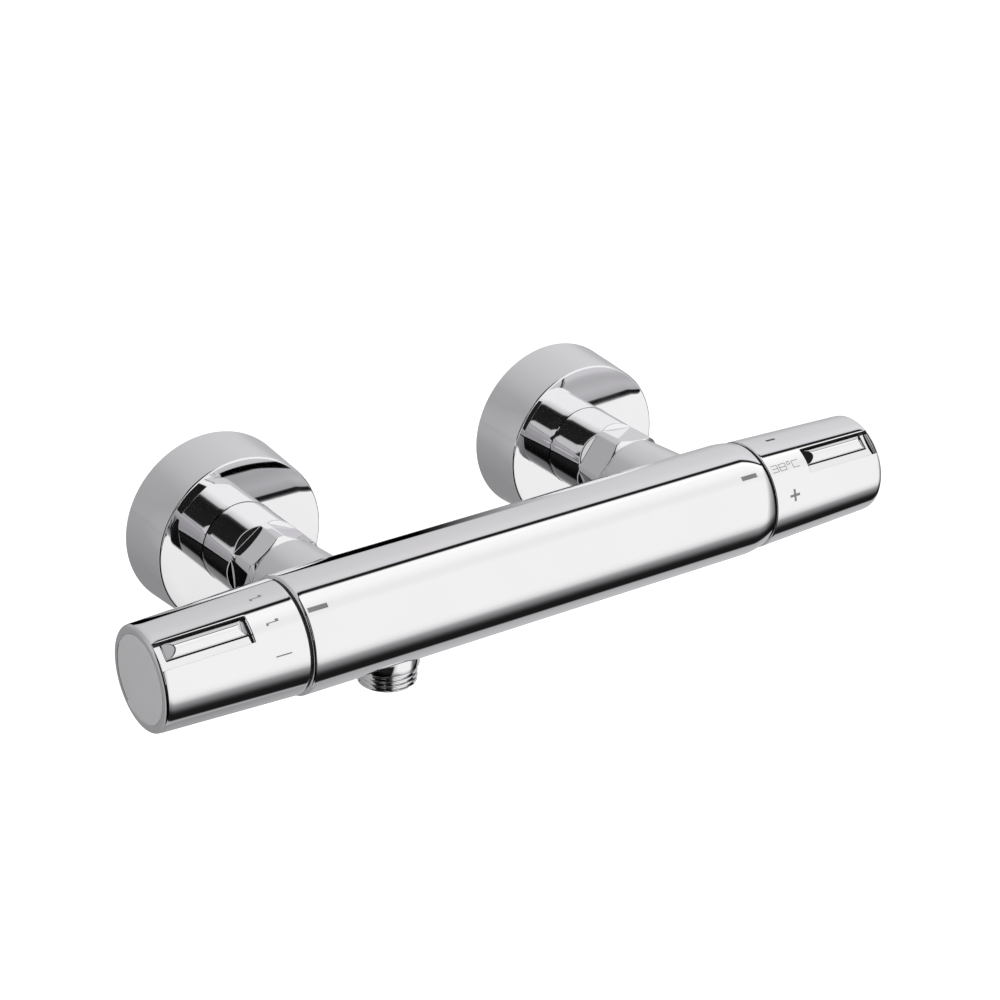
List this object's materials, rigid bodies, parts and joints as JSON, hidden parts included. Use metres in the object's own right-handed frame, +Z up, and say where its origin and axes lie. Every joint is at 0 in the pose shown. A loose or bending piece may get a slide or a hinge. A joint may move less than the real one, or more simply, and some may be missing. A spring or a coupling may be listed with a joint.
{
  "type": "thermostatic shower valve",
  "caption": "Chromed wall-mounted thermostatic shower bar valve with press-button end handles, round wall rosettes on union nuts and a threaded hose outlet below.",
  "frame": {"origin": "in the plane of the wall, midway between the axes of the inlets", "axes": "+X along the bar towards the temperature handle, +Y into the wall, +Z up"},
  "size_m": [0.302, 0.128, 0.0678],
  "materials": {
    "chrome": "polished chrome plate",
    "brass": "machined brass",
    "rubber": "moulded black rubber",
    "white_plastic": "moulded engineering plastic",
    "dark_plastic": "moulded dark plastic",
    "ceramic": "lapped ceramic",
    "steel": "stainless steel",
    "copper": "copper capsule"
  },
  "bodies": {
    "valve": {"valve_body": "chrome", "outlet_nipple": "chrome", "hot_connector": "brass", "hot_inlet_tail": "brass", "hot_filter_washer": "rubber", "hot_check_housing": "white_plastic", "hot_check_spring": "steel", "cold_connector": "brass", "cold_inlet_tail": "brass", "cold_filter_washer": "rubber", "cold_check_housing": "white_plastic", "cold_check_spring": "steel", "flow_seal": "rubber", "flow_fixed_disc": "ceramic", "flow_housing": "brass", "flow_retaining_nut": "brass", "flow_stop_ring": "dark_plastic", "thermo_housing": "dark_plastic", "thermo_seals": "rubber", "thermo_spring": "steel", "temp_retaining_nut": "brass", "temp_stop_ring": "dark_plastic"},
    "flow_grip": {"flow_handle": "chrome", "flow_handle_cap": "chrome", "flow_carrier": "white_plastic", "flow_handle_screw": "steel", "flow_spindle": "brass", "flow_moving_disc": "ceramic", "flow_button_spring": "steel"},
    "flow_press": {"flow_button": "chrome"},
    "temp_grip": {"temp_handle": "chrome", "temp_handle_cap": "chrome", "temp_carrier": "white_plastic", "temp_handle_screw": "steel", "temp_spindle": "brass", "temp_button_spring": "steel"},
    "temp_press": {"temp_button": "chrome"},
    "regulator": {"thermo_shuttle": "dark_plastic", "wax_element": "copper", "regulating_nut": "brass"},
    "hot_valve_disc": {"hot_check_poppet": "white_plastic"},
    "hot_nut": {"hot_union_nut": "chrome"},
    "hot_cover": {"hot_rosette": "chrome"},
    "cold_valve_disc": {"cold_check_poppet": "white_plastic"},
    "cold_nut": {"cold_union_nut": "chrome"},
    "cold_cover": {"cold_rosette": "chrome"}
  },
  "joints": [
    {"name": "flow_handle_turn", "type": "hinge", "parent": "valve", "child": "flow_grip", "pos_m": [-0.125, -0.091, 0], "axis": [1, 0, 0], "range_deg": [-45, 45]},
    {"name": "temp_handle_turn", "type": "hinge", "parent": "valve", "child": "temp_grip", "pos_m": [0.125, -0.091, 0], "axis": [1, 0, 0], "range_deg": [-90, 150]},
    {"name": "flow_button_press", "type": "slide", "parent": "flow_grip", "child": "flow_press", "axis": [0, 0.6717, -0.7408], "range_m": [0, 0.0014], "stiffness_N_per_m": 1500, "springref_m": -0.002, "deforming": ["flow_button_spring"]},
    {"name": "temp_button_press", "type": "slide", "parent": "temp_grip", "child": "temp_press", "axis": [0, 0.6717, -0.7408], "range_m": [0, 0.0014], "stiffness_N_per_m": 1500, "springref_m": -0.002, "deforming": ["temp_button_spring"]},
    {"name": "thermo_shuttle_slide", "type": "slide", "parent": "valve", "child": "regulator", "axis": [1, 0, 0], "range_m": [-0.0013, 0.0008], "deforming": ["thermo_spring"]},
    {"name": "hot_check_slide", "type": "slide", "parent": "valve", "child": "hot_valve_disc", "axis": [0, -1, 0], "range_m": [0, 0.0025], "stiffness_N_per_m": 50, "springref_m": -0.002, "deforming": ["hot_check_spring"]},
    {"name": "hot_nut_spin", "type": "hinge", "parent": "valve", "child": "hot_nut", "pos_m": [-0.075, -0.04, 0], "axis": [0, 1, 0], "continuous": true},
    {"name": "hot_cover_slide", "type": "slide", "parent": "valve", "child": "hot_cover", "axis": [0, -1, 0], "range_m": [0, 0.012]},
    {"name": "cold_check_slide", "type": "slide", "parent": "valve", "child": "cold_valve_disc", "axis": [0, -1, 0], "range_m": [0, 0.0025], "stiffness_N_per_m": 50, "springref_m": -0.002, "deforming": ["cold_check_spring"]},
    {"name": "cold_nut_spin", "type": "hinge", "parent": "valve", "child": "cold_nut", "pos_m": [0.075, -0.04, 0], "axis": [0, 1, 0], "continuous": true},
    {"name": "cold_cover_slide", "type": "slide", "parent": "valve", "child": "cold_cover", "axis": [0, -1, 0], "range_m": [0, 0.012]}
  ],
  "couplings": [
    {"joint": "thermo_shuttle_slide", "follows": "temp_handle_turn", "m_per_rad": -0.000477}
  ]
}
